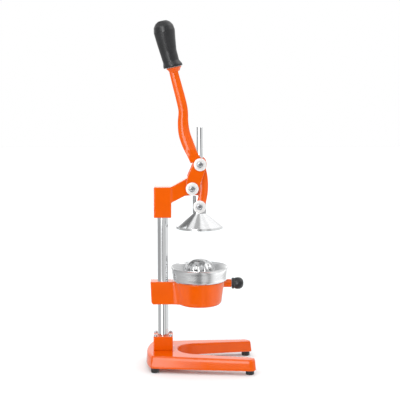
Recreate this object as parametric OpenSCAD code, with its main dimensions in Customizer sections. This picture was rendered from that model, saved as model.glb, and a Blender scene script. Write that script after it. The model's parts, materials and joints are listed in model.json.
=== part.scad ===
// Hand lever citrus press. A forked lever turns on the head of a chromed column and drives a
// polished bell straight down over a fruit that sits on a fluted reamer in a loose steel cup.
// +X points to the open front of the base, +Y is the width, +Z is up, the feet stand on Z = 0
// and the origin is the middle of the footprint. The machine is symmetric about Y = 0.

/* [Base] */
// Length of the horseshoe base, back to front
base_l = 229; // [222:1:236]
// Width of the base at its back corners
base_back_w = 127; // [122:1:132]
// Width of the base across the ends of its legs
base_front_w = 178; // [172:1:184]
// Height of the top face of the base at mid length
base_top_z = 34.6; // [33:0.2:36]
// Fall of the top face toward the front, in degrees
base_fall = 0.9; // [0.5:0.1:1.2]
// Wall thickness of the hollow underside
base_wall = 5; // [4:0.5:7]
// Radius of the closed end of the opening between the legs
fork_r = 43; // [40:1:46]
// Half angle at which the opening widens to the front
fork_angle = 10.6; // [9:0.2:12]
// Height of the rubber feet
foot_h = 9.5; // [8:0.5:11]
// Radius of the rubber feet
foot_r = 8.8; // [8:0.2:9.4]

/* [Column] */
// Distance of the column axis behind the reamer axis
column_back = 77; // [76:0.5:78]
// Radius of the column
column_r = 11.2; // [10.8:0.2:12]
// Side length of the square socket at the column's foot
socket_w = 41; // [39:0.5:42]
// Height of the socket's top face
socket_top_z = 66; // [62:0.5:68]
// Height of the head's underside
head_z = 319.5; // [316:0.5:322]
// Height of the head block
head_h = 64; // [60:0.5:68]

/* [Bowl holder] */
// Height of the holder's top face
holder_top_z = 183; // [180:0.5:186]
// Height of the holder casting
holder_h = 50.5; // [48:0.5:52]
// Outer radius of the bowl at its top face
holder_r = 52.6; // [52:0.2:54]
// Outer radius of the bowl at its bottom
holder_foot_r = 47.2; // [46:0.2:49]
// Half width of the clamp block around the column
clamp_half_w = 16.5; // [16:0.5:20]
// Radius of the black front knob
knob_r = 12.5; // [11:0.5:13.5]

/* [Cup and bell] */
// Radius of the cup's rim
cup_rim_r = 61; // [60:0.5:63]
// Height of the cup's rim
cup_rim_z = 213.5; // [211:0.5:216]
// Height of the reamer's tip
reamer_top_z = 230.4; // [228:0.2:231]
// Radius of the bell's lip
bell_r = 49; // [47:0.5:51]
// Height of the bell's lip when the lever is up
bell_z = 295.4; // [294:0.2:296]

/* [Lever and linkage] */
// Radius of the press rod
rod_r = 7; // [6.5:0.25:7.5]
// Height of the rod's top end when the lever is up
rod_top_z = 508; // [500:1:512]
// Distance of the fulcrum behind the rod axis
fulcrum_back = 15.4; // [15.2:0.1:16]
// Height of the fulcrum
fulcrum_z = 381.2; // [380:0.1:383]
// Distance between the fulcrum and the crank pivot on the lever
crank_r = 52.7; // [51:0.1:54]
// Angle of the crank pivot forward of straight up over the fulcrum
crank_angle = 18.2; // [17:0.2:19]
// Height of the wrist pivot on the press hub
wrist_z = 342.7; // [342:0.1:344]
// Thickness of each link
link_t = 6; // [5:0.25:6.2]
// Thickness of each lever prong
prong_t = 7; // [6:0.5:9]
// Radius of the plain discs that cover the pivots
disc_r = 13.2; // [12.5:0.1:13.5]

/* [Hidden] */
$fn = 96;
orange = [1.0, 0.42, 0.05];
steel = [0.78, 0.79, 0.80];
chrome = [0.85, 0.86, 0.88];
black = [0.10, 0.10, 0.11];
bronze = [0.72, 0.56, 0.30];

gap = 0.3;            // air between pieces that pass each other
run = 0.04;           // radial running clearance of shafts
eps = 0.5;            // overshoot of cutting tools

back_x = -base_l / 2;
front_x = base_l / 2;
back_bulge = 11;
back_arc_r = (pow(base_back_w / 2, 2) + pow(back_bulge, 2)) / (2 * back_bulge);
corner_r = 11;
fork_x = -4.5;
flare_x = 15;           // where the legs' outer sides bend
flare_half_w = 80.5;
deck_t = 6;
pad_t = 10;             // raised pad under the socket, down into the hollow underside
foot_screw_r = 2;
foot_places = [[102, 74], [-94.5, 56]];

press_x = -1.2;        // the press axis lies this far from the footprint's middle
column_x = press_x - column_back;
pad_z = base_top_z + 2;
column_top_z = head_z + head_h - 8;
screw_off = 15.8;       // from the column axis to each socket screw, along X and Y
socket_screw_r = 2;

holder_z = holder_top_z - holder_h;
holder_wall = 3.6;
throat_r = 32;
clamp_back = 26.4;      // clamp block behind the column axis
blend_r = 30;           // hollow curves between the block and the bowl
blend_bowl_r = holder_foot_r - 3.2;
blend_reach = blend_bowl_r / (blend_bowl_r + blend_r);
blend_x = -sqrt(pow(blend_bowl_r + blend_r, 2) - pow(clamp_half_w + blend_r, 2));
knob_z = holder_top_z - 6;
knob_x = 68.2;          // knob's inner end in front of the bowl's axis
knob_l = 25;

fulcrum_x = press_x - fulcrum_back;
crank_x = fulcrum_x + crank_r * sin(crank_angle);
crank_z = fulcrum_z + crank_r * cos(crank_angle);
link_y = 12.6;
prong_y = link_y + link_t + 0.4;
prong_out = prong_y + prong_t;
arm_half_w = prong_y - gap;
head_half_w = 20.5;
head_back = 18.4;       // head block behind the column axis
disc_t = 3.2;
shoulder_r = 5;
bush_r = 6.8;
hub_r = 14;
hub_half_w = link_y - 0.4;
hub_z = bell_z + 31.6;
hub_top_z = hub_z + 37.5;
guide_r = 12;
guide_z = hub_top_z + 1.5;
guide_top_z = 412;
guide_bore_r = rod_r + 1.6;

link_bow = 7.9;         // how far a link's middle swings out in front of its pins
link_half_w = 9.4;
link_mid_x = (crank_x + press_x) / 2 + link_bow;
link_rise = (crank_z - wrist_z) / 2;
link_bow_r = (link_rise * link_rise + link_bow * link_bow) / (2 * link_bow);

cup_floor_z = 166;
cup_wall = 1.2;
seat_z = holder_top_z + gap;
seat_r = holder_r - holder_wall - 0.9;
cup_foot_r = 44.5;
cup_side_r = 56.2;      // where the cup's wall starts to rise above the holder
cup_lip_r = 34;         // radius of the cup's open bottom
reamer_foot_r = 37;
reamer_r = 31;          // where the dome begins
dome_h = 22.5;

// Lever centre line, from the collar under the grip to the crank: x, z, half width.
lever_line = [
    [-59.2, 644, 9.0], [-57.0, 634, 9.0], [-54.5, 622, 9.1], [-47.8, 596, 9.5], [-39.2, 563, 9.9],
    [-34.9, 541, 9.9], [-35.3, 518, 11.0], [-32.7, 495, 12.0], [-24.9, 472, 12.2],
    [-14.4, 449, 11.2], [-4, 431, 13.0], [6, 420, 11]
];
// Grip sections, from the finger guard to the tip: x, z, radius.
grip_line = [
    [-55.4, 631.2, 20.0], [-56.2, 635, 20.2], [-59.6, 642.5, 17.0], [-65.8, 664, 17.7],
    [-70.2, 686, 20.2], [-73.4, 704, 22.2], [-75.4, 714, 20.4], [-76.8, 721, 15.4],
    [-77.6, 725, 9.0]
];
grip_lean = 11.5;
tang_foot = [-54, 0, 630];
tang_dir = [-sin(grip_lean), 0, cos(grip_lean)];
tang_r = 8;

// Helpers

// Children drawn in X and Z, made solid from y0 to y1.
module plate(y0, y1) {
    translate([0, y1, 0]) rotate([90, 0, 0]) linear_extrude(y1 - y0) children();
}

// A round bar along Y.
module bar_y(x, z, y0, y1, r) {
    translate([x, y1, z]) rotate([90, 0, 0]) cylinder(r = r, h = y1 - y0);
}

module both_sides() {
    children();
    mirror([0, 1, 0]) children();
}

module at_feet() {
    for (place = foot_places, side = [-1, 1])
        translate([place[0], side * place[1], 0]) children();
}

// Smooth curve through a list of points, four steps from each point to the next.
function blend(a, b, c, d, t) =
    0.5 * (2 * b + (c - a) * t + (2 * a - 5 * b + 4 * c - d) * t * t
        + (3 * b - a - 3 * c + d) * t * t * t);
function curve(line) = [
    for (i = [1 : len(line) - 3], step = [0 : 3])
        blend(line[i - 1], line[i], line[i + 1], line[i + 2], step / 4)
];
// One edge of a band along a curve of [x, z, half width] points.
function edge(line, side) = [
    for (i = [1 : len(line) - 2])
        let (run_x = line[i + 1][0] - line[i - 1][0], run_z = line[i + 1][1] - line[i - 1][1])
        let (size = sqrt(run_x * run_x + run_z * run_z))
        [line[i][0] - side * run_z / size * line[i][2],
         line[i][1] + side * run_x / size * line[i][2]]
];
function backwards(line) = [for (i = [len(line) - 1 : -1 : 0]) line[i]];
// Points of an arc in a turned outline.
function arc(x, z, r, from, to, steps = 8) = [
    for (i = [0 : steps]) let (a = from + (to - from) * i / steps) [x + r * cos(a), z + r * sin(a)]
];

// Base

// A round back and straight sides that bend once and end in round corners.
module base_plan(inset) {
    half_back = base_back_w / 2 - inset;
    half_front = base_front_w / 2 - inset;
    intersection() {
        translate([back_x + back_arc_r, 0]) circle(r = back_arc_r - inset, $fn = 240);
        hull() for (side = [-1, 1]) {
            translate([back_x - 1, side * (half_back - 1)]) square(2, center = true);
            translate([flare_x, side * (flare_half_w - inset - 1)]) circle(r = 1, $fn = 16);
            translate([front_x - inset - corner_r, side * (half_front - corner_r)])
                circle(r = corner_r, $fn = 32);
        }
    }
}

// The plane of the top face, which falls toward the front.
module on_top_face(z) {
    translate([0, 0, base_top_z]) rotate([0, base_fall, 0]) translate([0, 0, z]) children();
}

// The opening between the legs, a round end that widens to the front.
module fork_plan(grow) {
    r = fork_r + grow;
    touch_x = fork_x - (r - 0.1) * sin(fork_angle);
    touch_y = (r - 0.1) * cos(fork_angle);
    far_x = front_x + 20;
    far_y = touch_y + (far_x - touch_x) * tan(fork_angle);
    translate([fork_x, 0]) circle(r = r);
    polygon([[touch_x, -touch_y], [far_x, -far_y], [far_x, far_y], [touch_x, touch_y]]);
}

module base_casting() {
    color(orange)
    difference() {
        union() {
            difference() {
                hull() {
                    translate([0, 0, foot_h]) linear_extrude(2) base_plan(0);
                    on_top_face(-4.6) linear_extrude(0.4) base_plan(1.8);
                    on_top_face(-1.6) linear_extrude(0.4) base_plan(2.7);
                    on_top_face(-0.4) linear_extrude(0.4) base_plan(4.8);
                }
                translate([0, 0, foot_h - eps]) linear_extrude(base_top_z + 4) fork_plan(0);
                base_pocket();
            }
            at_feet() translate([0, 0, foot_h])
                cylinder(r = foot_r, h = base_top_z - deck_t + 1 - foot_h);
            translate([column_x - socket_w / 2, -socket_w / 2, pad_z - pad_t])
                cube([socket_w, socket_w, pad_t]);
        }
        at_feet() translate([0, 0, foot_h - eps]) cylinder(r = foot_screw_r, h = 13);
        socket_screw_places() translate([0, 0, pad_z - pad_t - eps])
            cylinder(r = socket_screw_r, h = pad_t + 2);
        translate([column_x, 0, 0]) cylinder(r = 6.5, h = pad_z + eps);
    }
}

// The hollow underside, open downward.
module base_pocket() {
    translate([0, 0, foot_h - eps]) linear_extrude(base_top_z - deck_t - foot_h + eps)
        difference() {
            base_plan(base_wall + 1.6);
            fork_plan(base_wall);
        }
}

module rubber_feet() {
    color(black)
    at_feet() difference() {
        union() {
            cylinder(r1 = foot_r - 0.8, r2 = foot_r, h = 2);
            translate([0, 0, 2]) cylinder(r = foot_r, h = foot_h - 2);
        }
        translate([0, 0, -eps]) cylinder(r = 4.4, h = 4 + eps);
        cylinder(r = foot_screw_r, h = foot_h + eps);
    }
}

module foot_screws() {
    color(steel)
    at_feet() translate([0, 0, 1.5]) {
        cylinder(r = 4, h = 2.5);
        cylinder(r = foot_screw_r, h = 17);
    }
}

// Column and its socket

module socket_screw_places() {
    for (i = [-1, 1], j = [-1, 1])
        translate([column_x + i * screw_off, j * screw_off, 0]) children();
}

module column_socket() {
    color(orange)
    difference() {
        translate([column_x - socket_w / 2, -socket_w / 2, pad_z])
            cube([socket_w, socket_w, socket_top_z - pad_z]);
        translate([column_x, 0, pad_z - eps]) cylinder(r = column_r, h = socket_top_z);
        socket_screw_places() translate([0, 0, pad_z - eps])
            cylinder(r = socket_screw_r + 0.2, h = socket_top_z);
    }
}

module socket_screws() {
    color(steel)
    socket_screw_places() difference() {
        union() {
            translate([0, 0, pad_z - 7]) cylinder(r = socket_screw_r, h = socket_top_z - pad_z + 8);
            translate([0, 0, socket_top_z]) cylinder(r = 3.4, h = 4);
        }
        translate([0, 0, socket_top_z + 1.8]) cylinder(r = 1.8, h = 3, $fn = 6);
    }
}

module column_bar() {
    color(chrome)
    difference() {
        translate([column_x, 0, pad_z]) cylinder(r = column_r, h = column_top_z - pad_z);
        translate([column_x, 0, pad_z - eps]) cylinder(r = 6, h = 30);
    }
}

module column_bolt() {
    head_top = pad_z - pad_t - 2;
    color(steel)
    difference() {
        union() {
            translate([column_x, 0, head_top - 7]) cylinder(r = 10, h = 7, $fn = 6);
            translate([column_x, 0, head_top - 1]) cylinder(r = 6, h = pad_z + 26 - head_top);
        }
        translate([column_x, 0, head_top - 7 - eps]) cylinder(r = 6, h = 1 + eps);
    }
}

module column_washer() {
    color(steel)
    translate([column_x, 0, pad_z - pad_t - 2]) difference() {
        cylinder(r = 12, h = 2);
        translate([0, 0, -eps]) cylinder(r = 6.5, h = 3);
    }
}

// Bowl holder

// The block around the column, with hollow curves that run into the round bowl.
module clamp_plan() {
    rear_x = -column_back - clamp_back;
    translate([rear_x, -clamp_half_w]) square([blend_x - rear_x, 2 * clamp_half_w]);
    for (side = [-1, 1]) difference() {
        polygon([
            [blend_x, 0], [blend_x, side * (clamp_half_w + 4)],
            [blend_x * blend_reach, side * (clamp_half_w + blend_r) * blend_reach], [0, 0]
        ]);
        translate([blend_x, side * (clamp_half_w + blend_r)]) circle(r = blend_r);
    }
}

// The block's side, with a rear face that leans in and a broken lower corner.
module clamp_side() {
    rear_x = -column_back - clamp_back;
    low_z = holder_z + 2;
    polygon([
        [rear_x, holder_top_z], [rear_x + 1.8, low_z + 5], [rear_x + 5, low_z],
        [0, low_z], [0, holder_top_z]
    ]);
}

module bowl_body() {
    round_r = 8;
    rotate_extrude() polygon(concat(
        [[0, holder_z]],
        arc(holder_foot_r - round_r, holder_z + round_r, round_r, -90, -7),
        [[holder_r, holder_top_z], [0, holder_top_z]]
    ));
}

// The room for the cup, open at the bottom so that the juice falls through.
module bowl_hollow() {
    rotate_extrude() polygon([
        [0, holder_z - eps], [throat_r, holder_z - eps], [throat_r, holder_z + 7],
        [throat_r + 6, holder_z + 10], [holder_foot_r - holder_wall - 1, holder_z + 19],
        [holder_r - holder_wall, holder_top_z], [holder_r - holder_wall, holder_top_z + eps],
        [0, holder_top_z + eps]
    ]);
}

module holder_casting() {
    color(orange)
    translate([press_x, 0, 0]) difference() {
        union() {
            bowl_body();
            intersection() {
                translate([0, 0, holder_z]) linear_extrude(holder_h) clamp_plan();
                plate(-60, 60) clamp_side();
            }
            knob_boss();
        }
        bowl_hollow();
        translate([-column_back, 0, holder_z]) cylinder(r = column_r, h = holder_h + eps);
        holder_screw_places() cylinder(r = 4, h = 20);
        translate([knob_x - 10, 0, knob_z]) rotate([0, 90, 0]) cylinder(r = 4, h = 12);
    }
}

// The stub that carries the knob, cut away where the cup swells out over it.
module knob_boss() {
    start_x = holder_r - holder_wall + 0.2;
    difference() {
        translate([start_x, 0, knob_z]) rotate([0, 90, 0]) cylinder(r = 8.6, h = knob_x - start_x);
        translate([0, 0, holder_top_z - 1]) cylinder(r = cup_side_r + 0.4, h = 12);
    }
}

module holder_screw_places() {
    for (drop = [14, 34])
        translate([-column_back - clamp_back - 1, 0, holder_top_z - drop]) rotate([0, 90, 0])
            children();
}

module holder_set_screws() {
    color(steel)
    translate([press_x, 0, 0]) holder_screw_places() translate([0, 0, 3.5]) difference() {
        cylinder(r = 4, h = 12.7);
        translate([0, 0, -eps]) cylinder(r = 2.3, h = 4, $fn = 6);
    }
}

module knob_stud() {
    color(steel)
    translate([press_x + knob_x - 9.5, 0, knob_z]) rotate([0, 90, 0]) cylinder(r = 4, h = 24);
}

module holder_knob() {
    round_r = 10.5;
    color(black)
    translate([press_x + knob_x, 0, knob_z]) rotate([0, 90, 0]) difference() {
        rotate_extrude() polygon(concat(
            [[0, 0], [knob_r - 2, 0], [knob_r - 0.8, 1.2], [knob_r - 0.8, 4.5], [knob_r - 1.8, 5.6]],
            [[knob_r - 0.4, 9], [knob_r, 12]],
            arc(knob_r - round_r, knob_l - round_r, round_r, 0, 90),
            [[0, knob_l]]
        ));
        translate([0, 0, -eps]) cylinder(r = 4, h = 15.5);
    }
}

// Head

module arm_outline() {
    polygon([
        [column_x + 17, 350.2], [-28, 367.4], [-18, fulcrum_z - 12], [-6, fulcrum_z - 7],
        [-6, fulcrum_z + 7], [-18, 401], [-22.4, 405], [column_x + 17, head_z + head_h]
    ]);
    translate([fulcrum_x, fulcrum_z]) circle(r = 12);
}

// The web that carries the guide boss, narrow enough to pass between the links.
module guide_web() {
    polygon([
        [-40, 364], [-14, guide_z], [press_x, guide_z], [press_x, guide_top_z],
        [-11, guide_top_z], [-25, 403]
    ]);
}

module head_casting() {
    color(orange)
    difference() {
        union() {
            translate([column_x - head_back, -head_half_w, head_z])
                cube([2 * head_back - 0.4, 2 * head_half_w, head_h]);
            plate(-arm_half_w, arm_half_w) arm_outline();
            plate(-guide_r, guide_r) guide_web();
            translate([press_x, 0, guide_z]) cylinder(r = guide_r, h = guide_top_z - guide_z);
        }
        translate([column_x, 0, head_z - eps]) cylinder(r = column_r, h = column_top_z - head_z + eps);
        translate([press_x, 0, guide_z - eps]) cylinder(r = guide_bore_r, h = guide_top_z - guide_z + 1);
        bar_y(fulcrum_x, fulcrum_z, -30, 30, shoulder_r);
        head_screw_places() cylinder(r = 3, h = 14);
    }
}

module head_screw_places() {
    for (rise = [14, 42])
        translate([column_x - head_back - 1, 0, head_z + rise]) rotate([0, 90, 0]) children();
}

module head_set_screws() {
    color(steel)
    head_screw_places() translate([0, 0, 1.4]) difference() {
        cylinder(r = 3, h = 6.8);
        translate([0, 0, -eps]) cylinder(r = 1.8, h = 3, $fn = 6);
    }
}

module guide_bush(z) {
    color(bronze)
    translate([press_x, 0, z]) difference() {
        cylinder(r = guide_bore_r, h = 14);
        translate([0, 0, -eps]) cylinder(r = rod_r + run, h = 15);
    }
}

module upper_guide_bush() {
    guide_bush(guide_top_z - 14);
}

module lower_guide_bush() {
    guide_bush(guide_z);
}

// Fulcrum, fixed in the head arm

module fulcrum_bolt() {
    head_y = -(prong_out + gap + disc_t);
    color(steel)
    difference() {
        union() {
            bar_y(fulcrum_x, fulcrum_z, head_y - 4, head_y, 6.5);
            bar_y(fulcrum_x, fulcrum_z, head_y - 1, -head_y + 4, shoulder_r);
        }
        bar_y(fulcrum_x, fulcrum_z, head_y - 5, head_y - 1, 3.2, $fn = 6);
    }
}

module fulcrum_nut() {
    face_y = prong_out + gap + disc_t;
    color(steel)
    difference() {
        bar_y(fulcrum_x, fulcrum_z, face_y, face_y + 5, 8, $fn = 6);
        bar_y(fulcrum_x, fulcrum_z, face_y - eps, face_y + 6, shoulder_r);
    }
}

// A plain disc on each outer face of the fork, with a soft outer edge.
module pivot_disc(x, z) {
    translate([x, -(prong_out + gap), z]) rotate([90, 0, 0]) difference() {
        union() {
            cylinder(r = disc_r, h = disc_t - 1);
            translate([0, 0, disc_t - 1]) cylinder(r1 = disc_r, r2 = disc_r - 1, h = 1);
        }
        translate([0, 0, -eps]) cylinder(r = shoulder_r, h = disc_t + 1);
    }
}

module fulcrum_discs() {
    color(chrome) both_sides() pivot_disc(fulcrum_x, fulcrum_z);
}

// Lever

// The lever's two prongs and neck, seen from the side.
module lever_outline() {
    line = curve(lever_line);
    polygon(concat(edge(line, 1), backwards(edge(line, -1))));
    hull() {
        translate([crank_x, crank_z]) circle(r = 14, $fn = 48);
        translate([-14, 402]) circle(r = 13, $fn = 48);
        translate([fulcrum_x, fulcrum_z]) circle(r = 13.6, $fn = 48);
    }
}

// The fork seen from the front, in Y and Z: a neck that splits around the rod.
module fork_outline() {
    neck = 10;
    crotch_z = 520;
    difference() {
        polygon([
            [-prong_out, 360], [prong_out, 360], [prong_out, 462], [neck + 4, 512], [neck, 535],
            [neck, 627], [-neck, 627], [-neck, 535], [-neck - 4, 512], [-prong_out, 462]
        ]);
        polygon([
            [-prong_y, 350], [prong_y, 350], [prong_y, 452], [rod_r + 1, crotch_z - 9],
            [-rod_r - 1, crotch_z - 9], [-prong_y, 452]
        ]);
        translate([0, crotch_z - 9]) circle(r = rod_r + 1);
    }
}

module lever_casting() {
    color(orange)
    difference() {
        union() {
            intersection() {
                plate(-40, 40) lever_outline();
                translate([-120, 0, 0]) rotate([90, 0, 90]) linear_extrude(200) fork_outline();
            }
            translate(tang_foot - 8.2 * tang_dir) rotate([0, -grip_lean, 0]) {
                cylinder(r1 = 10.5, r2 = 14.6, h = 7.2);
                translate([0, 0, 7]) cylinder(r = 15.8, h = 2.6);
            }
            translate(tang_foot - 8 * tang_dir) rotate([0, -grip_lean, 0]) cylinder(r = tang_r, h = 80);
        }
        both_sides() {
            bar_y(crank_x, crank_z, -40, 0, bush_r);
            bar_y(fulcrum_x, fulcrum_z, -40, 0, bush_r);
        }
    }
}

module lever_bushes() {
    color(bronze)
    both_sides() for (place = [[crank_x, crank_z], [fulcrum_x, fulcrum_z]]) difference() {
        bar_y(place[0], place[1], -prong_out, -prong_y, bush_r);
        bar_y(place[0], place[1], -prong_out - eps, -prong_y + eps, shoulder_r + run);
    }
}

module lever_grip() {
    color(black)
    difference() {
        for (i = [0 : len(grip_line) - 2]) hull() {
            grip_section(grip_line[i]);
            grip_section(grip_line[i + 1]);
        }
        translate(tang_foot - 8 * tang_dir) rotate([0, -grip_lean, 0]) cylinder(r = tang_r, h = 80);
    }
}

module grip_section(place) {
    translate([place[0], 0, place[1]]) rotate([0, -grip_lean, 0])
        cylinder(r = place[2], h = 0.6, $fn = 32);
}

// Links

module link_outline() {
    mid_z = (crank_z + wrist_z) / 2;
    centre_x = link_mid_x - link_bow_r;
    intersection() {
        translate([centre_x, mid_z]) difference() {
            circle(r = link_bow_r + link_half_w, $fn = 240);
            circle(r = link_bow_r - link_half_w, $fn = 240);
        }
        polygon([[centre_x, mid_z], [40, crank_z + 15], [40, wrist_z - 15]]);
    }
    translate([crank_x, crank_z]) circle(r = link_half_w + 1);
    translate([press_x, wrist_z]) circle(r = link_half_w + 1);
}

// The near link lies on the -Y side.
module one_link() {
    difference() {
        plate(-link_y - link_t, -link_y) intersection() {
            link_outline();
            translate([-20, wrist_z - 20]) square([60, 130]);
        }
        bar_y(crank_x, crank_z, -30, 0, shoulder_r);
        bar_y(press_x, wrist_z, -30, 0, shoulder_r);
    }
}

module near_link() {
    color(orange) one_link();
}

module far_link() {
    color(orange) mirror([0, 1, 0]) one_link();
}

// A shoulder bolt with a hexagon socket, head outward on the -Y side.
module shoulder_bolt(x, z, head_y, tip_y) {
    difference() {
        union() {
            bar_y(x, z, head_y - 4, head_y, 6.5);
            bar_y(x, z, head_y - 1, tip_y, shoulder_r);
        }
        bar_y(x, z, head_y - 5, head_y - 1, 3.2, $fn = 6);
    }
}

module crank_bolts() {
    color(steel)
    both_sides() shoulder_bolt(crank_x, crank_z, -(prong_out + gap + disc_t), -link_y - 0.2);
}

module crank_discs() {
    color(chrome) both_sides() pivot_disc(crank_x, crank_z);
}

module wrist_bolts() {
    color(steel)
    both_sides() shoulder_bolt(press_x, wrist_z, -(link_y + link_t + disc_t), -link_y);
}

module wrist_discs() {
    color(chrome)
    both_sides() translate([0, prong_out + gap - link_y - link_t, 0]) pivot_disc(press_x, wrist_z);
}

// Press rod, hub and bell

module press_rod() {
    color(chrome) translate([press_x, 0, 0]) {
        translate([0, 0, hub_top_z - 13]) cylinder(r = rod_r, h = rod_top_z - hub_top_z + 12);
        translate([0, 0, rod_top_z - 1]) cylinder(r1 = rod_r, r2 = rod_r - 1, h = 1);
    }
}

module press_hub() {
    color(steel)
    translate([press_x, 0, 0]) difference() {
        intersection() {
            translate([0, 0, hub_z]) cylinder(r = hub_r, h = hub_top_z - hub_z);
            translate([-20, -hub_half_w, hub_z - 1]) cube([40, 2 * hub_half_w, 40]);
        }
        translate([0, 0, hub_top_z - 13]) cylinder(r = rod_r, h = 14);
        translate([0, 0, hub_z - eps]) cylinder(r = 4, h = 11);
        both_sides() bar_y(0, wrist_z, -20, -5, 3);
    }
}

module press_bell() {
    wall = 2.6;
    lip = 4.8;
    color(chrome)
    translate([press_x, 0, 0]) difference() {
        rotate_extrude() polygon([
            [0, bell_z], [bell_r, bell_z], [bell_r, bell_z + lip], [hub_r, hub_z], [0, hub_z]
        ]);
        rotate_extrude() polygon([
            [0, bell_z - eps], [bell_r - wall, bell_z - eps], [bell_r - wall, bell_z + lip - 1.6],
            [hub_r - 3, hub_z - 4], [0, hub_z - 4]
        ]);
        translate([0, 0, hub_z - 6]) cylinder(r = 4, h = 8);
    }
}

module bell_screw() {
    color(steel)
    translate([press_x, 0, 0]) difference() {
        union() {
            translate([0, 0, hub_z - 8]) cylinder(r = 7, h = 4);
            translate([0, 0, hub_z - 5]) cylinder(r = 4, h = 15);
        }
        translate([0, 0, hub_z - 8 - eps]) cylinder(r = 2.9, h = 3, $fn = 6);
    }
}

// Loose cup and reamer

// The cup's outer profile, floor to rim; the inner one is the same, one wall further in.
function cup_side(inset) = concat(
    arc(cup_foot_r - 6, cup_floor_z + 6, 6 - inset, -90, -4),
    [[seat_r - inset, seat_z - 1 + inset], [seat_r + 0.8 - inset, seat_z + inset]],
    arc(cup_side_r - 5, seat_z + 5, 5 - inset, -60, -8, 5),
    [[cup_rim_r - 3 - inset, cup_rim_z - 7], [cup_rim_r - 2.2 - inset, cup_rim_z - 3.4]]
);

// Open at the bottom, with an inward lip that carries the strainer disc.
module juice_cup() {
    color(steel)
    translate([press_x, 0, 0]) rotate_extrude() polygon(concat(
        [[cup_lip_r, cup_floor_z]], cup_side(0),
        [[cup_rim_r, cup_rim_z - 1.2], [cup_rim_r, cup_rim_z], [cup_rim_r - 1.4, cup_rim_z]],
        backwards(cup_side(cup_wall)), [[cup_lip_r, cup_floor_z + cup_wall]]
    ));
}

module strainer_disc() {
    color(steel)
    translate([press_x, 0, cup_floor_z + cup_wall]) difference() {
        cylinder(r = cup_foot_r - 6, h = cup_wall);
        translate([0, 0, -eps]) {
            for (i = [0 : 23]) rotate(i * 15) translate([29, 0, 0]) cylinder(r = 1.6, h = 3);
            for (i = [0 : 17]) rotate(i * 20) translate([23.5, 0, 0]) cylinder(r = 1.6, h = 3);
            for (i = [0 : 11]) rotate(i * 30) translate([17, 0, 0]) cylinder(r = 1.6, h = 3);
            for (i = [0 : 5]) rotate(i * 60) translate([9, 0, 0]) cylinder(r = 1.6, h = 3);
        }
    }
}

// The reamer's profile from its foot up to the flattened dome.
function reamer_side(inset) = concat(
    [[reamer_foot_r - inset, cup_floor_z + 2 * cup_wall]],
    [[35.4 - inset, 178], [33.8 - inset, 192], [32.0 - inset, 203]],
    [
        for (i = [0 : 10]) let (a = 9 * i)
        [(reamer_r - inset) * cos(a), reamer_top_z - dome_h + (dome_h - inset) * sin(a)]
    ]
);

module fluted_reamer() {
    flutes = 12;
    color(chrome)
    translate([press_x, 0, 0]) difference() {
        rotate_extrude() polygon(concat(reamer_side(0), backwards(reamer_side(2.2))));
        for (i = [0 : flutes - 1]) rotate((i + 0.5) * 360 / flutes) {
            translate([36, 0, 190]) rotate([0, -7, 0]) cylinder(r = 3, h = 26, center = true);
            translate([20, 0, 210]) rotate([0, 90, 0]) cylinder(r = 1.6, h = 16);
        }
    }
}

base_casting();
rubber_feet();
foot_screws();
column_socket();
socket_screws();
column_bar();
column_bolt();
column_washer();
holder_casting();
holder_set_screws();
knob_stud();
holder_knob();
head_casting();
head_set_screws();
upper_guide_bush();
lower_guide_bush();
fulcrum_bolt();
fulcrum_nut();
fulcrum_discs();
lever_casting();
lever_bushes();
lever_grip();
near_link();
far_link();
crank_bolts();
crank_discs();
wrist_bolts();
wrist_discs();
press_rod();
press_hub();
press_bell();
bell_screw();
juice_cup();
strainer_disc();
fluted_reamer();
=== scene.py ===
import json
import math

import bmesh
import bpy
import numpy as np
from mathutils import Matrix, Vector

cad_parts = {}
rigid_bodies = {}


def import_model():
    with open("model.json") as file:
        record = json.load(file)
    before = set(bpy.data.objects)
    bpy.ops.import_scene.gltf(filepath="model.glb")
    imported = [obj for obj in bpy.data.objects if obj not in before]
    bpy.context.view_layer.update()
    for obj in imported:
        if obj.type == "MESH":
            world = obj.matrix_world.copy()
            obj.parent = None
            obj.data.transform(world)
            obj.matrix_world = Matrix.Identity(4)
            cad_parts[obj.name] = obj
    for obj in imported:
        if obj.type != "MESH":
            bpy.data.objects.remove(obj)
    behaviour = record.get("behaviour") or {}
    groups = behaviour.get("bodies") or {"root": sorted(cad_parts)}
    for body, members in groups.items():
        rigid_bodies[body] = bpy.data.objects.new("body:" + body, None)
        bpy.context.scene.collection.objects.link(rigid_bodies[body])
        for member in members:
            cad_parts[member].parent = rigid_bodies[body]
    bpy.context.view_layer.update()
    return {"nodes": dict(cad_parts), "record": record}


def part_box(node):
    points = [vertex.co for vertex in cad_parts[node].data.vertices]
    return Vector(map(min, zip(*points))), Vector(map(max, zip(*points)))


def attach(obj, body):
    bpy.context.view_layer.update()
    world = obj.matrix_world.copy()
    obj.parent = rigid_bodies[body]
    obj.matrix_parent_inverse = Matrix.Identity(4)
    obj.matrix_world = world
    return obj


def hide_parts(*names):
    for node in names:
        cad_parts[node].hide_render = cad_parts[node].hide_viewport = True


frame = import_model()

# Looks of a hand lever citrus press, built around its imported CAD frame. Metres throughout.
BODY_OF = {node: body for body, nodes in frame["record"]["behaviour"]["bodies"].items() for node in nodes}
SLOT_OF = {part["node"]: part.get("material_slot") for part in frame["record"]["subparts"]}
MM = 0.001


# ---------------------------------------------------------------- measures

def points_of(mesh):
    co = np.zeros(len(mesh.vertices) * 3)
    mesh.vertices.foreach_get("co", co)
    return co.reshape(-1, 3)


def move_points(mesh, co):
    mesh.vertices.foreach_set("co", co.ravel())
    mesh.update()


def far_side_box(node):
    """Lowest and highest corner of the node's points on its +Y side."""
    co = points_of(frame["nodes"][node].data)
    co = co[co[:, 1] > 0]
    return Vector(co.min(0)), Vector(co.max(0))


def middle(lo, hi):
    return (lo + hi) / 2


# ---------------------------------------------------------------- node materials

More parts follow.
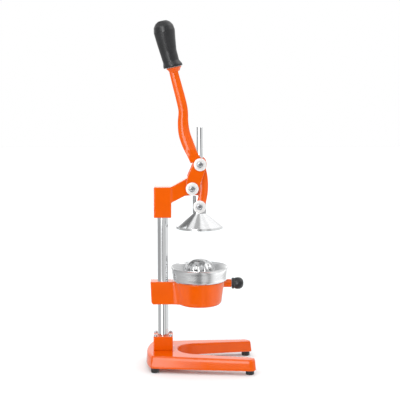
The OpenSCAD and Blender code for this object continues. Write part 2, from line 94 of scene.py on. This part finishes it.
def new_material(name):
    mat = bpy.data.materials.new(name)
    mat.use_nodes = True
    tree = mat.node_tree
    shader = next(n for n in tree.nodes if n.type == "BSDF_PRINCIPLED")
    return mat, tree, shader


def coords(tree, scale=(1, 1, 1)):
    source = tree.nodes.new("ShaderNodeTexCoord")
    mapping = tree.nodes.new("ShaderNodeMapping")
    mapping.inputs["Scale"].default_value = scale
    tree.links.new(source.outputs["Object"], mapping.inputs["Vector"])
    return mapping.outputs["Vector"]


def noise(tree, vector, scale, detail, rough=0.55):
    texture = tree.nodes.new("ShaderNodeTexNoise")
    texture.inputs["Scale"].default_value = scale
    texture.inputs["Detail"].default_value = detail
    texture.inputs["Roughness"].default_value = rough
    tree.links.new(vector, texture.inputs["Vector"])
    return texture.outputs["Fac"]


def spread(tree, value, low, high, start=0.0, end=1.0):
    """Maps a value that runs from start to end to one that runs from low to high."""
    mapped = tree.nodes.new("ShaderNodeMapRange")
    mapped.inputs["From Min"].default_value = start
    mapped.inputs["From Max"].default_value = end
    mapped.inputs["To Min"].default_value = low
    mapped.inputs["To Max"].default_value = high
    tree.links.new(value, mapped.inputs["Value"])
    return mapped.outputs["Result"]


def two_tone(tree, value, first, second):
    """Goes from one colour to the other around the middle of a 0..1 value."""
    ramp = tree.nodes.new("ShaderNodeValToRGB")
    for point, place, colour in zip(ramp.color_ramp.elements, (0.35, 0.65), (first, second)):
        point.position = place
        point.color = (*colour, 1)
    tree.links.new(value, ramp.inputs["Fac"])
    return ramp.outputs["Color"]


def bump(tree, shader, height, strength, distance):
    relief = tree.nodes.new("ShaderNodeBump")
    relief.inputs["Strength"].default_value = strength
    relief.inputs["Distance"].default_value = distance
    tree.links.new(height, relief.inputs["Height"])
    tree.links.new(relief.outputs["Normal"], shader.inputs["Normal"])


def paint_material():
    """Orange enamel over a casting: orange peel, slight unevenness of colour and gloss."""
    mat, tree, shader = new_material("orange_enamel")
    place = coords(tree)
    shade = noise(tree, place, scale=26, detail=2)
    gloss = noise(tree, place, scale=90, detail=3)
    peel = noise(tree, place, scale=520, detail=2)
    deep, pale = (0.70, 0.091, 0.0004), (0.74, 0.100, 0.0006)
    tree.links.new(two_tone(tree, shade, deep, pale), shader.inputs["Base Color"])
    tree.links.new(spread(tree, gloss, 0.03, 0.07), shader.inputs["Roughness"])
    shader.inputs["IOR"].default_value = 1.5
    shader.inputs["Specular IOR Level"].default_value = 0.35
    bump(tree, shader, peel, strength=0.03, distance=0.3 * MM)
    return mat


def metal_material(name, light, dark, rough, grain, grain_scale, scratches=0.05, metallic=1.0):
    """Bare metal with a fine directional grain; grain stretches the noise across X, Y and Z."""
    mat, tree, shader = new_material(name)
    shader.inputs["Metallic"].default_value = metallic
    lines = noise(tree, coords(tree, grain), grain_scale, detail=4, rough=0.6)
    polish = noise(tree, coords(tree, grain), scale=900, detail=3)
    tree.links.new(two_tone(tree, lines, dark, light), shader.inputs["Base Color"])
    tree.links.new(spread(tree, lines, *rough), shader.inputs["Roughness"])
    bump(tree, shader, polish, strength=scratches, distance=0.05 * MM)
    return mat


def black_material(name, colour, rough, grain_scale, depth):
    """Moulded black plastic or rubber with a fine grain and paler patches."""
    mat, tree, shader = new_material(name)
    place = coords(tree)
    grain = noise(tree, place, grain_scale, detail=3)
    patches = noise(tree, place, scale=60, detail=2)
    paler = tuple(1.5 * c for c in colour)
    tree.links.new(two_tone(tree, patches, colour, paler), shader.inputs["Base Color"])
    tree.links.new(spread(tree, grain, *rough), shader.inputs["Roughness"])
    bump(tree, shader, grain, strength=0.25, distance=depth)
    return mat


EVEN = (1, 1, 1)
UPRIGHT = (1, 1, 0.05)
ROUND_THE_BELL = (1, 1, 6)
ROUND_THE_CUP = (0.3, 0.3, 12)

MATERIALS = {
    "orange_paint": paint_material(),
    "chrome": metal_material("column_chrome", (0.80, 0.81, 0.82), (0.76, 0.77, 0.78), rough=(0.04, 0.07),
                             grain=UPRIGHT, grain_scale=700, scratches=0.02),
    "polished_alloy": metal_material("bell_alloy", (0.86, 0.865, 0.87), (0.76, 0.765, 0.77),
                                     rough=(0.10, 0.17), grain=ROUND_THE_BELL, grain_scale=240),
    "brushed_steel": metal_material("cup_steel", (0.72, 0.725, 0.73), (0.60, 0.605, 0.61),
                                    rough=(0.15, 0.21), grain=ROUND_THE_CUP, grain_scale=260, scratches=0.12),
    "polished_steel": metal_material("reamer_steel", (0.58, 0.585, 0.59), (0.46, 0.465, 0.47),
                                     rough=(0.14, 0.22), grain=EVEN, grain_scale=300),
    "zinc_screws": metal_material("zinc_plate", (0.56, 0.57, 0.59), (0.42, 0.43, 0.45), rough=(0.14, 0.22),
                                  grain=EVEN, grain_scale=500, scratches=0.1),
    "nickel_discs": metal_material("nickel_plate", (0.84, 0.82, 0.81), (0.76, 0.74, 0.73),
                                   rough=(0.22, 0.30), grain=EVEN, grain_scale=380, scratches=0.06,
                                   metallic=0.3),
    "bronze": metal_material("bush_bronze", (0.62, 0.42, 0.18), (0.48, 0.31, 0.12), rough=(0.25, 0.35),
                             grain=EVEN, grain_scale=500, scratches=0.1),
    "black_grip": black_material("black_plastic", (0.010, 0.010, 0.011), rough=(0.26, 0.36),
                                 grain_scale=900, depth=0.2 * MM),
    "black_rubber": black_material("foot_rubber", (0.010, 0.009, 0.009), rough=(0.5, 0.62),
                                   grain_scale=1400, depth=0.3 * MM),
}


# ---------------------------------------------------------------- mesh helpers

def mesh_from(name, verts, faces):
    mesh = bpy.data.meshes.new(name)
    mesh.from_pydata([tuple(v) for v in verts], [], [tuple(f) for f in faces])
    bm = bmesh.new()
    bm.from_mesh(mesh)
    bmesh.ops.recalc_face_normals(bm, faces=bm.faces)
    bm.to_mesh(mesh)
    bm.free()
    return mesh


def adopt(name, mesh, like_node, smooth=35, stands_for=True):
    """A new piece that rides on like_node's body and takes its material.

    Edges that turn more than smooth degrees stay sharp. The piece replaces like_node if it stands for it.
    """
    obj = bpy.data.objects.new(name, mesh)
    bpy.context.scene.collection.objects.link(obj)
    bm = bmesh.new()
    bm.from_mesh(mesh)
    bmesh.ops.recalc_face_normals(bm, faces=bm.faces)
    limit = math.radians(smooth)
    for face in bm.faces:
        face.smooth = True
    for edge in bm.edges:
        edge.smooth = not (len(edge.link_faces) == 2 and edge.calc_face_angle(0) > limit)
    bm.to_mesh(mesh)
    bm.free()
    mesh.materials.clear()
    mesh.materials.append(MATERIALS[SLOT_OF[like_node]])
    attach(obj, BODY_OF[like_node])
    if stands_for:
        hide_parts(like_node)


def clean_copy(node, flat=0.0):
    """The CAD node's mesh with its points joined. Faces that turn less than flat degrees are merged."""
    bm = bmesh.new()
    bm.from_mesh(frame["nodes"][node].data)
    bmesh.ops.remove_doubles(bm, verts=bm.verts, dist=0.02 * MM)
    if flat:
        bmesh.ops.dissolve_limit(bm, angle_limit=math.radians(flat), verts=bm.verts, edges=bm.edges)
    mesh = bpy.data.meshes.new(node + "_mesh")
    bm.to_mesh(mesh)
    bm.free()
    return mesh


def apply_modifier(mesh, kind, **settings):
    """The mesh after one modifier."""
    holder = bpy.data.objects.new("work", mesh)
    bpy.context.scene.collection.objects.link(holder)
    modifier = holder.modifiers.new("work", kind)
    for key, value in settings.items():
        setattr(modifier, key, value)
    result = bpy.data.meshes.new_from_object(holder.evaluated_get(bpy.context.evaluated_depsgraph_get()))
    bpy.data.objects.remove(holder)
    return result


def relax(mesh, rounds, push=0.0, where=None):
    """Laplacian smoothing. A negative push keeps the volume, and where() weighs the points."""
    pull = 0.5
    co = points_of(mesh)
    count = len(co)
    ends = np.zeros(len(mesh.edges) * 2, np.int64)
    mesh.edges.foreach_get("vertices", ends)
    a, b = ends[0::2], ends[1::2]
    degree = np.maximum(np.bincount(ends, minlength=count), 1.0)[:, None]
    weight = where(co)[:, None] if where else 1
    for _ in range(rounds):
        for step in (pull, push):
            if step:
                total = np.zeros_like(co)
                for axis in range(3):
                    total[:, axis] = np.bincount(a, co[b, axis], count) + np.bincount(b, co[a, axis], count)
                co = co + step * weight * (total / degree - co)
    move_points(mesh, co)


def cast_piece(name, node, voxel, rounds, shape=None):
    """A sand-cast look: the node's shape remeshed finely, with its edges softened."""
    result = apply_modifier(clean_copy(node), "REMESH", mode="VOXEL", voxel_size=voxel)
    if shape:
        shape(result)
    relax(result, rounds, push=-0.3)
    result.name = name
    adopt(name, result, node, smooth=60)


def turned(rings, segs, origin=(0, 0, 0), axis="Z", loop=False):
    """Vertices and faces of a turned solid. A ring is (height, radius) or (height, apothem, "hex")."""
    sixth = math.pi / 3
    verts, faces = [], []
    for ring in rings:
        for i in range(segs):
            t = 2 * math.pi * i / segs
            r = ring[1]
            if len(ring) == 3:
                r = ring[1] / math.cos((t + sixth / 2) % sixth - sixth / 2)
            p = (r * math.cos(t), r * math.sin(t), ring[0])
            if axis == "-Y":
                p = (p[0], -p[2], p[1])
            elif axis == "Y":
                p = (p[0], p[2], -p[1])
            verts.append((p[0] + origin[0], p[1] + origin[1], p[2] + origin[2]))
    for k in range(len(rings) if loop else len(rings) - 1):
        n = (k + 1) % len(rings)
        for i in range(segs):
            j = (i + 1) % segs
            faces.append((k * segs + i, k * segs + j, n * segs + j, n * segs + i))
    if not loop:
        faces.append(tuple(range(segs - 1, -1, -1)))
        faces.append(tuple((len(rings) - 1) * segs + i for i in range(segs)))
    return verts, faces


def gather(*parts):
    """Several vertex and face lists as one."""
    verts, faces = [], []
    for v, f in parts:
        base = len(verts)
        verts += list(v)
        faces += [tuple(i + base for i in face) for face in f]
    return verts, faces


def arc(cx, cz, r, start, end, steps):
    """Points of an arc as (height, radius) pairs, from angle start to end in degrees."""
    out = []
    for i in range(steps + 1):
        a = math.radians(start + (end - start) * i / steps)
        out.append((cz + r * math.sin(a), cx + r * math.cos(a)))
    return out


def drilled(mesh, holes, radius, depth):
    """The mesh with round holes; each hole is a point on the surface and the way out of it."""
    parts = []
    for place, out in holes:
        spin = out.to_track_quat("Z", "Y").to_matrix()
        v, f = turned([(-depth, radius), (depth, radius)], segs=16)
        parts.append(([place + spin @ Vector(q) for q in v], f))
    cutter = bpy.data.objects.new("cutter", mesh_from("cutter", *gather(*parts)))
    bpy.context.scene.collection.objects.link(cutter)
    result = apply_modifier(mesh, "BOOLEAN", object=cutter, operation="DIFFERENCE", solver="EXACT")
    bpy.data.objects.remove(cutter)
    return result


# ---------------------------------------------------------------- castings

def crown(mesh, flat_half, drop, start, end):
    """Rounds a plate's outer faces across its width, so that they fall away by drop towards both edges.

    What lies within flat_half of the middle plane stays, and the rounding comes in from height start to end.
    """
    co = points_of(mesh)
    step = 2 * MM
    row = ((co[:, 2] - co[:, 2].min()) / step).astype(int)
    rows = row.max() + 1
    low = np.full(rows, np.inf)
    high = np.full(rows, -np.inf)
    deepest = np.zeros(rows)
    np.minimum.at(low, row, co[:, 0])
    np.maximum.at(high, row, co[:, 0])
    np.maximum.at(deepest, row, np.abs(co[:, 1]))
    across = (co[:, 0] - (low[row] + high[row]) / 2) / np.maximum((high[row] - low[row]) / 2, step)
    share = np.clip((co[:, 2] - start) / (end - start), 0, 1)
    share = share * share * (3 - 2 * share)
    depth = np.clip((np.abs(co[:, 1]) - flat_half) / np.maximum(deepest[row] - flat_half, step), 0, 1)
    co[:, 1] -= np.sign(co[:, 1]) * depth * share * drop * across ** 2
    move_points(mesh, co)


def beside_bowl(co):
    """Weighs the points where the clamp block runs into the bowl, clear of the top and bottom edges."""
    lo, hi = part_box("holder_casting")
    behind, lean = 34 * MM, 16 * MM
    half_w, narrowing = 27.6 * MM, 10 * MM
    reach, clearance = 8 * MM, 5 * MM
    at_seam = 1.6
    share = (co[:, 2] - lo.z) / (hi.z - lo.z)
    seam_x = middle(*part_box("juice_cup")).x - behind - lean * share
    seam_y = half_w - narrowing * share
    away = np.hypot(co[:, 0] - seam_x, np.abs(co[:, 1]) - seam_y)
    clear = np.minimum(co[:, 2] - lo.z, hi.z - co[:, 2]) / clearance
    return np.clip(at_seam - away / reach, 0, 1) * np.clip(clear, 0, 1)


def soften_holder(mesh):
    relax(mesh, rounds=90, where=beside_bowl)


def crown_lever(mesh):
    """The lever's bar is rounded above the crank discs; its prongs stay flat under them."""
    lo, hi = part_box("crank_discs")
    disc_r = (hi.x - lo.x) / 2
    crank_z = middle(lo, hi).z
    crown(mesh, flat_half=2 * MM, drop=3 * MM, start=crank_z + disc_r, end=crank_z + 3 * disc_r)


def crown_link(mesh):
    """A link's outer face is rounded over its whole length."""
    crown(mesh, flat_half=12.6 * MM, drop=1.6 * MM, start=0, end=10 * MM)


cast_piece("base_body", "base_casting", voxel=1.5 * MM, rounds=5)
cast_piece("holder_body", "holder_casting", voxel=1.1 * MM, rounds=5, shape=soften_holder)
cast_piece("head_body", "head_casting", voxel=1.1 * MM, rounds=4)
cast_piece("lever_fork", "lever_casting", voxel=1.0 * MM, rounds=6, shape=crown_lever)
for link in ("near_link", "far_link"):
    cast_piece(link + "_bar", link, voxel=0.8 * MM, rounds=4, shape=crown_link)
cast_piece("grip_body", "lever_grip", voxel=1.2 * MM, rounds=8)
cast_piece("socket_block", "column_socket", voxel=1.0 * MM, rounds=3)


# ---------------------------------------------------------------- pivots

def fitted_across(name, node, rings, segs, centre, axes, loop=False):
    """A piece that stands for the node, with a turned solid from the middle plane along each of the axes."""
    parts = [turned(rings, segs, (centre.x, 0, centre.z), axis, loop) for axis in axes]
    adopt(name, mesh_from(name, *gather(*parts)), node, smooth=30)


def pivot_discs(node):
    """A plain plated disc on each side, with a rolled edge and a seat around its bolt."""
    lo, hi = far_side_box(node)
    r, inner, outer = (hi.x - lo.x) / 2, lo.y, hi.y
    chamfer, roll_r = 0.3 * MM, 1.2 * MM
    seat_mouth_r, seat_lip_r, seat_r, bore_r = 7.9 * MM, 7.4 * MM, 7.3 * MM, 5.1 * MM
    lip_depth, seat_depth, fillet = 0.4 * MM, 1.5 * MM, 0.1 * MM
    rings = [(inner, r - chamfer), (inner + chamfer, r)]
    rings += arc(r - roll_r, outer - roll_r, roll_r, start=0, end=90, steps=6)
    rings += [(outer, seat_mouth_r), (outer - lip_depth, seat_lip_r)]
    rings += [(outer - seat_depth + fillet, seat_r), (outer - seat_depth, bore_r), (inner, bore_r)]
    fitted_across(node + "_pair", node, rings, 96, middle(lo, hi), ("Y", "-Y"), loop=True)


def bolt_rings(tip, top):
    """A socket screw from its tip to the hexagon in its head."""
    shank_r, head_r, head_h = 5 * MM, 6.5 * MM, 4 * MM
    chamfer, sunk, round_r = 0.4 * MM, 1.4 * MM, 2.0 * MM
    mouth_r, hexagon_r = 3.9 * MM, 3.2 * MM
    bevel, floor_h = 0.5 * MM, 0.6 * MM
    face = top - head_h
    rings = [(tip, shank_r - chamfer), (tip + chamfer, shank_r), (face - sunk, shank_r)]
    rings += [(face - sunk, head_r), (top - round_r, head_r)]
    rings += arc(head_r - round_r, top - round_r, round_r, start=15, end=90, steps=6)
    rings += [(top, mouth_r), (top - bevel, hexagon_r, "hex"), (face + floor_h, hexagon_r, "hex")]
    return rings


def shoulder_bolts(node):
    lo, hi = far_side_box(node)
    fitted_across(node + "_pair", node, bolt_rings(lo.y, hi.y), 72, middle(lo, hi), ("Y", "-Y"))


def long_bolt(node):
    """A bolt right through, whose head is on the near side."""
    lo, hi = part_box(node)
    fitted_across(node + "_long", node, bolt_rings(-hi.y, -lo.y), 72, middle(lo, hi), ("-Y",))


for joint in ("crank", "wrist", "fulcrum"):
    pivot_discs(joint + "_discs")
shoulder_bolts("crank_bolts")
shoulder_bolts("wrist_bolts")
long_bolt("fulcrum_bolt")


# ---------------------------------------------------------------- cup and reamer

CUP_SEGS = 144


def reamer_outline(lo, hi, dome_r, dome_h, inset):
    """(height, radius) pairs from the reamer's foot up its side and over its dome."""
    foot_r = (hi.x - lo.x) / 2 - inset
    foot_h, side_h = 10 * MM, 24 * MM
    taper, flare = 0.8 * MM, 2 * MM
    rows = [(lo.z, foot_r), (lo.z + foot_h, foot_r - taper), (lo.z + side_h, dome_r + flare - inset)]
    for angle in range(0, 90, 3):
        a = math.radians(angle)
        rows.append((hi.z - dome_h + (dome_h - inset) * math.sin(a), (dome_r - inset) * math.cos(a)))
    return rows


def juice_holes(centre, top_z, dome_r, dome_h, ribs):
    """Places and ways out of three rings of holes, which lie in the grooves of the dome."""
    in_groove = 1.5 * MM
    holes = []
    for angle, count in ((14, ribs), (36, ribs), (58, ribs // 2)):
        a = math.radians(angle)
        for i in range(count):
            t = 2 * math.pi * (i + 0.5) / count
            around = Vector((math.cos(t), math.sin(t), 0))
            place = centre + around * (dome_r - in_groove) * math.cos(a)
            place.z = top_z - dome_h + dome_h * math.sin(a)
            out = around * math.cos(a) / dome_r + Vector((0, 0, math.sin(a) / dome_h))
            holes.append((place, out))
    return holes


def reamer():
    """A flattened dome with shallow ribs and three rings of juice holes."""
    lo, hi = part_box("fluted_reamer")
    centre = middle(lo, hi)
    wall, dome_r, dome_h = 1.2 * MM, 33 * MM, 27 * MM
    ribs, groove_depth = 12, 2.0 * MM
    smooth_top, groove_fade = 5 * MM, 14 * MM
    points_per_rib = 18
    segs = ribs * points_per_rib
    outside = reamer_outline(lo, hi, dome_r, dome_h, 0)
    inside = reamer_outline(lo, hi, dome_r, dome_h, wall)
    rows = outside + inside[::-1]
    top_row = len(outside) - 1
    verts, faces = [], []
    for z, r in rows:
        low = min(1, max(0, (hi.z - smooth_top - z) / groove_fade))
        for i in range(segs):
            t = 2 * math.pi * i / segs
            groove = 0.5 - 0.5 * math.cos(ribs * t)
            radius = r - groove_depth * low * groove ** 2
            verts.append((centre.x + radius * math.cos(t), centre.y + radius * math.sin(t), z))
    for k in range(len(rows)):
        if k == top_row:
            continue
        n = (k + 1) % len(rows)
        for i in range(segs):
            j = (i + 1) % segs
            faces.append((k * segs + i, k * segs + j, n * segs + j, n * segs + i))
    for cap in (top_row, top_row + 1):
        faces.append(tuple(cap * segs + i for i in range(segs)))
    hole_r, cut_depth = 1.8 * MM, 5 * MM
    holes = juice_holes(centre, hi.z, dome_r, dome_h, ribs)
    mesh = drilled(mesh_from("reamer_dome", verts, faces), holes, hole_r, cut_depth)
    adopt("reamer_dome", mesh, "fluted_reamer", smooth=40)


def meridian(mesh, centre):
    """A turned mesh's outline on its +X side, as (height, radius) rings in order."""
    on_side = {v.index for v in mesh.vertices if abs(v.co.y - centre.y) < 0.01 * MM and v.co.x > centre.x}
    beside = {i: [] for i in on_side}
    for edge in mesh.edges:
        a, b = edge.vertices
        if a in on_side and b in on_side:
            beside[a].append(b)
            beside[b].append(a)
    path = [min(on_side)]
    while len(path) < len(on_side):
        path.append(next(i for i in beside[path[-1]] if i not in path))
    return [(mesh.vertices[i].co.z, mesh.vertices[i].co.x - centre.x) for i in path]


def cup_wall():
    """The cup, turned finely enough to mirror the studio as clean upright stripes."""
    centre = middle(*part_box("juice_cup"))
    rings = meridian(clean_copy("juice_cup"), centre)
    mesh = mesh_from("cup_wall", *turned(rings, CUP_SEGS, (centre.x, centre.y, 0), loop=True))
    adopt("cup_wall", mesh, "juice_cup")


def cup_roll():
    """The cup's rolled rim."""
    lo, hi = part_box("juice_cup")
    centre = middle(lo, hi)
    inset, roll_r = 1.0 * MM, 1.15 * MM
    rings = arc((hi.x - lo.x) / 2 - inset, hi.z - inset, roll_r, start=0, end=345, steps=15)
    mesh = mesh_from("cup_roll", *turned(rings, CUP_SEGS, (centre.x, centre.y, 0), loop=True))
    adopt("cup_roll", mesh, "juice_cup", stands_for=False)


reamer()
cup_wall()
cup_roll()

# The nodes whose CAD shape is right keep it.
for node in frame["nodes"]:
    if not frame["nodes"][node].hide_render:
        adopt(node + "_piece", clean_copy(node, flat=0.4), node)

# Only these pieces show in reflections. The others would put orange and dark patches on the chrome
# and steel, which the photograph shows as clean as in a large white tent.
MIRRORED = ("base_body", "socket_block", "column_bar_piece", "reamer_dome", "press_bell_piece",
            "strainer_disc_piece")
for obj in bpy.data.objects:
    if obj.type == "MESH" and obj.name not in frame["nodes"]:
        obj.visible_glossy = obj.name in MIRRORED


# ---------------------------------------------------------------- studio

# What the studio shows round the object, as bands: (from height, to height, [(angle, brightness), ...]).
# A height is the Z of a direction of length 1, and an angle is in degrees to the right of the camera.
# Bright stretches are soft boxes and dark ones are the gaps between them. Neighbouring bands blend.
BANDS = [
    (-1.0, -0.46, [(-180, 0.6), (-127, 0.5), (-85, 0.68), (-54, 1.0), (-27, 0.8), (-12, 0.5), (-1, 0.35),
                   (8, 0.4), (16, 1.0), (25, 1.0), (40, 0.45), (46, 0.45), (60, 1.1), (84, 1.3), (180, 1.0)]),
    (-0.445, -0.415, [(-180, 0.3), (-129, 0.25), (-95, 0.8), (-65, 0.8), (-45, 0.2), (-28, 0.03),
                      (-12, 0.05), (4, 0.2), (14, 0.45), (34, 0.45), (57, 1.0), (81, 2.2), (112, 2.8),
                      (149, 1.6), (180, 0.5)]),
    (-0.40, -0.295, [(-180, 0.6), (-140, 0.4), (-120, 0.6), (-98, 0.69), (-79, 0.74), (-63, 0.82),
                     (-48, 1.05), (-35, 0.85), (-22, 0.82), (-11, 0.5), (3, 0.40), (12, 1.0), (27, 1.08),
                     (43, 0.5), (56, 1.05), (72, 1.4), (112, 1.6), (150, 1.3), (180, 0.6)]),
    (-0.285, -0.21, [(-180, 0.8), (-110, 0.66), (-65, 0.45), (-45, 0.9), (-38, 3.0), (-20, 3.0),
                     (-14, 1.6), (-8, 0.3), (2, 0.15), (7, 0.3), (20, 0.95), (30, 0.9), (46, 0.5),
                     (70, 0.87), (180, 0.9)]),
    (-0.20, -0.145, [(-180, 0.80), (-150, 0.45), (-62, 0.42), (-48, 0.6), (-42, 0.95), (-20, 0.95),
                     (-12, 0.45), (-3, 0.4), (8, 0.4), (15, 0.86), (32, 0.84), (40, 0.48), (52, 0.48),
                     (62, 0.92), (150, 0.90), (180, 0.80)]),
    (-0.135, -0.085, [(-180, 0.8), (-150, 0.5), (-90, 0.6), (-50, 0.5), (-36, 0.6), (-30, 6.5),
                      (-14.9, 6.5), (-13.9, 2.0), (-13.0, 0.05), (-10.6, 0.05), (-8.8, 0.9), (-5, 0.9),
                      (-2.5, 0.1), (3, 0.1), (12, 0.7), (30, 0.9), (60, 0.7), (180, 0.8)]),
    (-0.07, 0.38, [(-180, 1.6), (-160, 1.4), (-90, 0.6), (-50, 0.45), (-27, 0.5), (-21, 7), (-7, 7),
                   (-3, 0.5), (0, 0.15), (25, 0.3), (50, 0.6), (90, 0.9), (154, 0.9), (180, 1.6)]),
    (0.45, 0.84, [(-180, 0.9), (-172, 0.6), (-164, 0.35), (-155, 0.45), (-143, 0.2), (-126, 0.2),
                  (-118, 1.0), (-50, 0.9), (-40, 1.3), (8, 1.3), (20, 0.6), (60, 1.0), (75, 2.2),
                  (118, 2.2), (130, 1.2), (160, 1.15), (180, 0.95)]),
    (0.88, 0.955, [(-180, 1.1), (0, 1.0), (180, 1.1)]),
    (0.965, 1.0, [(-180, 0.5), (-100, 0.5), (-80, 0.9), (80, 1.2), (140, 1.2), (165, 0.8), (180, 0.5)]),
]


def grey(level):
    return (level, level, level, 1)


def turn_share(tree, direction):
    """The direction's angle round the object as 0..1: 0.5 is the camera's side, and it grows to the right."""
    flip = tree.nodes.new("ShaderNodeMath")
    flip.operation = "MULTIPLY"
    flip.inputs[1].default_value = -1
    tree.links.new(direction.outputs["Y"], flip.inputs[0])
    turn = tree.nodes.new("ShaderNodeMath")
    turn.operation = "ARCTAN2"
    tree.links.new(direction.outputs["X"], turn.inputs[0])
    tree.links.new(flip.outputs[0], turn.inputs[1])
    return spread(tree, turn.outputs[0], 0, 1, -math.pi, math.pi)


def band(tree, share, stops):
    """The brightness round one band."""
    ramp = tree.nodes.new("ShaderNodeValToRGB")
    points = ramp.color_ramp.elements
    while len(points) < len(stops):
        points.new(0.5)
    for point, (angle, level) in zip(points, stops):
        point.position = (angle + 180) / 360
        point.color = grey(level)
    tree.links.new(share, ramp.inputs["Fac"])
    return ramp.outputs["Color"]


def blend(tree, low, high, factor):
    """A mix of two colours or grey levels. A Mix node's colours are its sockets 6, 7 and 2."""
    first, second, mixed = 6, 7, 2
    mix = tree.nodes.new("ShaderNodeMix")
    mix.data_type = "RGBA"
    tree.links.new(factor, mix.inputs[0])
    for socket, value in ((mix.inputs[first], low), (mix.inputs[second], high)):
        if isinstance(value, float):
            socket.default_value = grey(value)
        else:
            tree.links.new(value, socket)
    return mix.outputs[mixed]


def surroundings():
    """A white studio: the camera sees plain white, and metal and paint mirror the bands."""
    world = bpy.data.worlds.new("studio")
    bpy.context.scene.world = world
    world.use_nodes = True
    tree = world.node_tree
    tree.nodes.clear()
    source = tree.nodes.new("ShaderNodeTexCoord")
    direction = tree.nodes.new("ShaderNodeSeparateXYZ")
    tree.links.new(source.outputs["Generated"], direction.inputs[0])
    share = turn_share(tree, direction)
    up = direction.outputs["Z"]
    seen = band(tree, share, BANDS[0][2])
    for below, here in zip(BANDS, BANDS[1:]):
        rise = spread(tree, up, 0, 1, below[1], here[0])
        seen = blend(tree, seen, band(tree, share, here[2]), rise)
    path = tree.nodes.new("ShaderNodeLightPath")
    dim, bright = 0.86, 1.25
    lit = blend(tree, dim, bright, spread(tree, up, 0, 1, -0.2, 0.9))
    seen = blend(tree, seen, lit, path.outputs["Is Diffuse Ray"])
    seen = blend(tree, seen, 1.0, path.outputs["Is Camera Ray"])
    background = tree.nodes.new("ShaderNodeBackground")
    tree.links.new(seen, background.inputs["Color"])
    out = tree.nodes.new("ShaderNodeOutputWorld")
    tree.links.new(background.outputs[0], out.inputs["Surface"])


def paper_material():
    """White paper that mirror rays pass through, so that metal shows the studio below the floor."""
    mat, tree, shader = new_material("floor_paper")
    cloudy = noise(tree, coords(tree), scale=3, detail=2)
    tone = two_tone(tree, cloudy, (0.88, 0.92, 0.93), (0.90, 0.94, 0.95))
    tree.links.new(tone, shader.inputs["Base Color"])
    shader.inputs["Roughness"].default_value = 0.6
    shader.inputs["Specular IOR Level"].default_value = 0.2
    clear = tree.nodes.new("ShaderNodeBsdfTransparent")
    path = tree.nodes.new("ShaderNodeLightPath")
    mixer = tree.nodes.new("ShaderNodeMixShader")
    tree.links.new(path.outputs["Is Glossy Ray"], mixer.inputs[0])
    tree.links.new(shader.outputs[0], mixer.inputs[1])
    tree.links.new(clear.outputs[0], mixer.inputs[2])
    out = next(n for n in tree.nodes if n.type == "OUTPUT_MATERIAL")
    tree.links.new(mixer.outputs[0], out.inputs["Surface"])
    return mat


def paper_floor():
    half = 6.0
    corners = [(-half, -half, 0), (half, -half, 0), (half, half, 0), (-half, half, 0)]
    mesh = bpy.data.meshes.new("floor")
    mesh.from_pydata(corners, [], [(0, 1, 2, 3)])
    mesh.materials.append(paper_material())
    floor = bpy.data.objects.new("floor", mesh)
    bpy.context.scene.collection.objects.link(floor)


def aimed(name, data, place, facing):
    """A light or camera that stands at a place and looks along facing."""
    obj = bpy.data.objects.new(name, data)
    obj.location = place
    obj.rotation_mode = "QUATERNION"
    obj.rotation_quaternion = facing.to_track_quat("-Z", "Y")
    bpy.context.scene.collection.objects.link(obj)
    return obj


def key_light():
    place, target = Vector((-1.3, -1.6, 1.9)), Vector((0, 0, 0.35))
    data = bpy.data.lights.new("key", "AREA")
    data.shape = "RECTANGLE"
    data.size = 1.2
    data.size_y = 1.2
    data.energy = 10
    aimed("key", data, place, target - place)


def camera():
    """Stands in front and a little above, where the photograph's perspective puts it."""
    data = bpy.data.cameras.new("camera")
    data.lens = 96.264
    data.sensor_width = 36
    data.clip_start, data.clip_end = 0.05, 60
    pitch, turn = math.radians(7.18), math.radians(-1.07)
    ahead = Vector((-math.sin(turn) * math.cos(pitch), math.cos(turn) * math.cos(pitch), -math.sin(pitch)))
    bpy.context.scene.camera = aimed("camera", data, (-0.0416, -2.2256, 0.635), ahead)


bpy.context.scene.view_settings.view_transform = "Standard"
bpy.context.scene.view_settings.look = "None"
surroundings()
paper_floor()
key_light()
camera()
